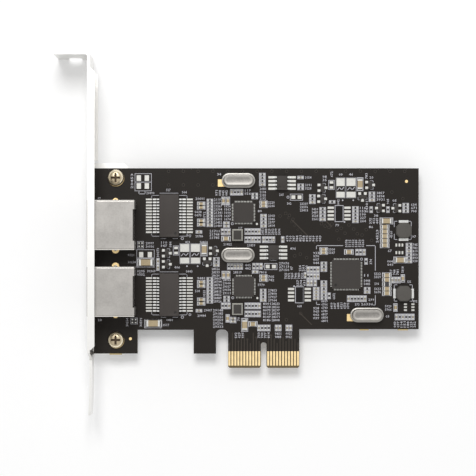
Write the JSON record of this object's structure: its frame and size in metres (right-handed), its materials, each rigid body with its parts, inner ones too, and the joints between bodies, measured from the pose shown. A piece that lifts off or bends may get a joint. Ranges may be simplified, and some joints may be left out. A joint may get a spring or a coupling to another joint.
{
  "type": "network interface card",
  "caption": "Flat add-in circuit board with modular network jacks, transformers and chips, on a folded full-height slot bracket.",
  "frame": {"origin": "middle of the key slot at the insertion edge of the edge connector, on the board's component face", "axes": "+Z out of the component face, +Y from the edge connector up the card to the bracket's screw tab, -X towards the bracket and out of the jacks"},
  "size_m": [0.1214, 0.12, 0.0216],
  "materials": {
    "solder_mask": "satin brown-black solder mask over glass-epoxy board",
    "gold": "thin gold plating",
    "nickel_plate": "bright nickel plate on cold-rolled steel",
    "screw_metal": "warm nickel plate",
    "tin_shield": "satin tin plate",
    "jack_plastic": "black moulded thermoplastic",
    "lamp_plastic": "milky light pipe",
    "solder": "bright tin solder",
    "transformer_epoxy": "dark taupe moulding compound",
    "chip_epoxy": "dark grey moulding compound",
    "can_metal": "satin nickel can",
    "ferrite": "grey-brown pressed ferrite",
    "resistor_film": "black glazed film",
    "ceramic_grey": "grey sintered ceramic",
    "ceramic_tan": "tan sintered ceramic"
  },
  "bodies": {
    "root": {"circuit_board": "solder_mask", "edge_contacts": "gold", "io_bracket": "nickel_plate", "bracket_screws": "screw_metal", "port_shield_upper": "tin_shield", "port_shield_lower": "tin_shield", "port_insert_upper": "jack_plastic", "port_insert_lower": "jack_plastic", "port_contacts_upper": "gold", "port_contacts_lower": "gold", "port_lamps": "lamp_plastic", "solder_joints": "solder", "transformer_upper": "transformer_epoxy", "transformer_lower": "transformer_epoxy", "transformer_leads_upper": "solder", "transformer_leads_lower": "solder", "memory_chip_upper": "chip_epoxy", "memory_chip_lower": "chip_epoxy", "memory_leads_upper": "solder", "memory_leads_lower": "solder", "lan_controller_upper": "chip_epoxy", "lan_controller_lower": "chip_epoxy", "switch_chip": "chip_epoxy", "crystal_can_upper": "can_metal", "crystal_can_middle": "can_metal", "crystal_can_lower": "can_metal", "crystal_bases": "jack_plastic", "power_inductor_upper": "ferrite", "power_inductor_lower": "ferrite", "inductor_terminals": "solder", "moulded_inductor_upper": "ferrite", "moulded_inductor_lower": "ferrite", "transistors": "chip_epoxy", "transistor_leads": "solder", "chip_resistors": "resistor_film", "chip_capacitors": "ceramic_grey", "ferrite_beads": "ferrite", "filter_capacitors": "ceramic_tan", "supply_capacitors": "ceramic_tan", "sense_resistor": "resistor_film", "bulk_capacitors": "ceramic_tan", "isolation_capacitors": "ceramic_tan"}
  },
  "joints": []
}
